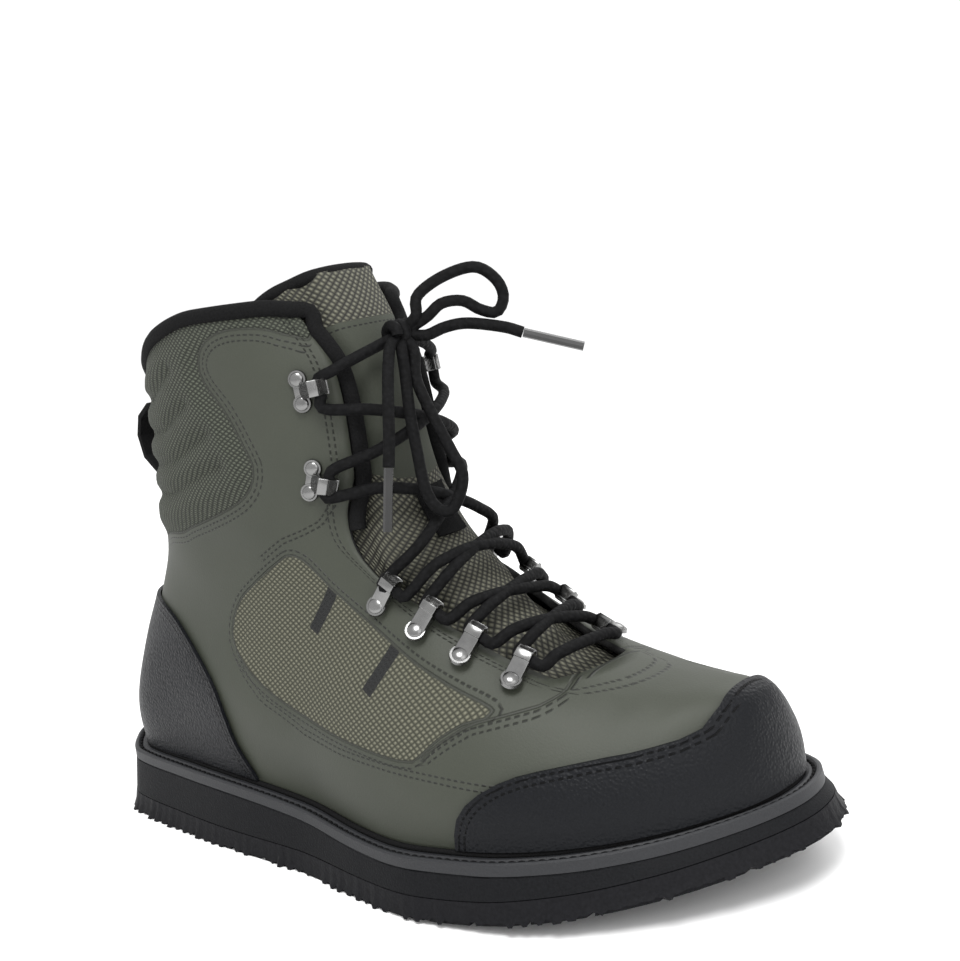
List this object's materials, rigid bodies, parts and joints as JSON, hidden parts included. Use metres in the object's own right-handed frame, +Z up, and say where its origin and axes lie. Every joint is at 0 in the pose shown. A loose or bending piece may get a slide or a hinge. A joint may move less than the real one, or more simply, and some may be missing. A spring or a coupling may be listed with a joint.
{
  "type": "wading boot",
  "caption": "Ankle-high lace-up wading boot for the right foot, with lugged rubber sole, welt, toe cap, heel counter, padded tongue, metal eyelets and hooks, and a tied round lace.",
  "frame": {"origin": "centre of the bounding box in plan, on the floor under the heel and ball lugs", "axes": "+X towards the toe, +Y to the medial side of this right boot, +Z up"},
  "size_m": [0.318, 0.1304, 0.216],
  "materials": {
    "rubber": "matt black rubber with a lugged underside",
    "foam": "matt black foam rubber",
    "strip_grey": "dark grey rubber strip",
    "footbed": "black cloth-faced foam",
    "olive_leather": "olive-grey coated synthetic leather, satin",
    "black_leather": "black pebbled synthetic leather",
    "tongue_cloth": "olive-grey mesh and synthetic leather over foam",
    "black_textile": "black woven textile",
    "lace_cord": "black braided polyester cord",
    "gunmetal": "polished dark nickel",
    "clear_tip": "smoky clear plastic"
  },
  "bodies": {
    "root": {"outsole": "rubber", "midsole": "foam", "welt": "strip_grey", "insole": "footbed", "upper": "olive_leather", "toe_cap": "black_leather", "heel_counter": "black_leather", "tongue": "tongue_cloth", "lace_keeper": "black_textile", "collar_binding": "black_textile", "pull_loop": "black_textile", "bow_loop_front": "lace_cord", "bow_loop_side": "lace_cord", "eyelet_lateral_1": "gunmetal", "eyelet_lateral_2": "gunmetal", "eyelet_lateral_3": "gunmetal", "eyelet_lateral_4": "gunmetal", "eyelet_medial_1": "gunmetal", "eyelet_medial_2": "gunmetal", "eyelet_medial_3": "gunmetal", "eyelet_medial_4": "gunmetal", "lace_bar": "lace_cord", "lace_cross_1": "lace_cord", "lace_cross_2": "lace_cord", "lace_cross_3": "lace_cord", "lace_cross_4": "lace_cord", "lace_cross_5": "lace_cord", "lace_end_left": "lace_cord", "lace_end_right": "lace_cord", "lace_hook_lateral_1": "gunmetal", "lace_hook_lateral_2": "gunmetal", "lace_hook_medial_1": "gunmetal", "lace_hook_medial_2": "gunmetal", "lace_knot": "lace_cord", "lace_tip_left": "clear_tip", "lace_tip_right": "clear_tip"}
  },
  "joints": []
}
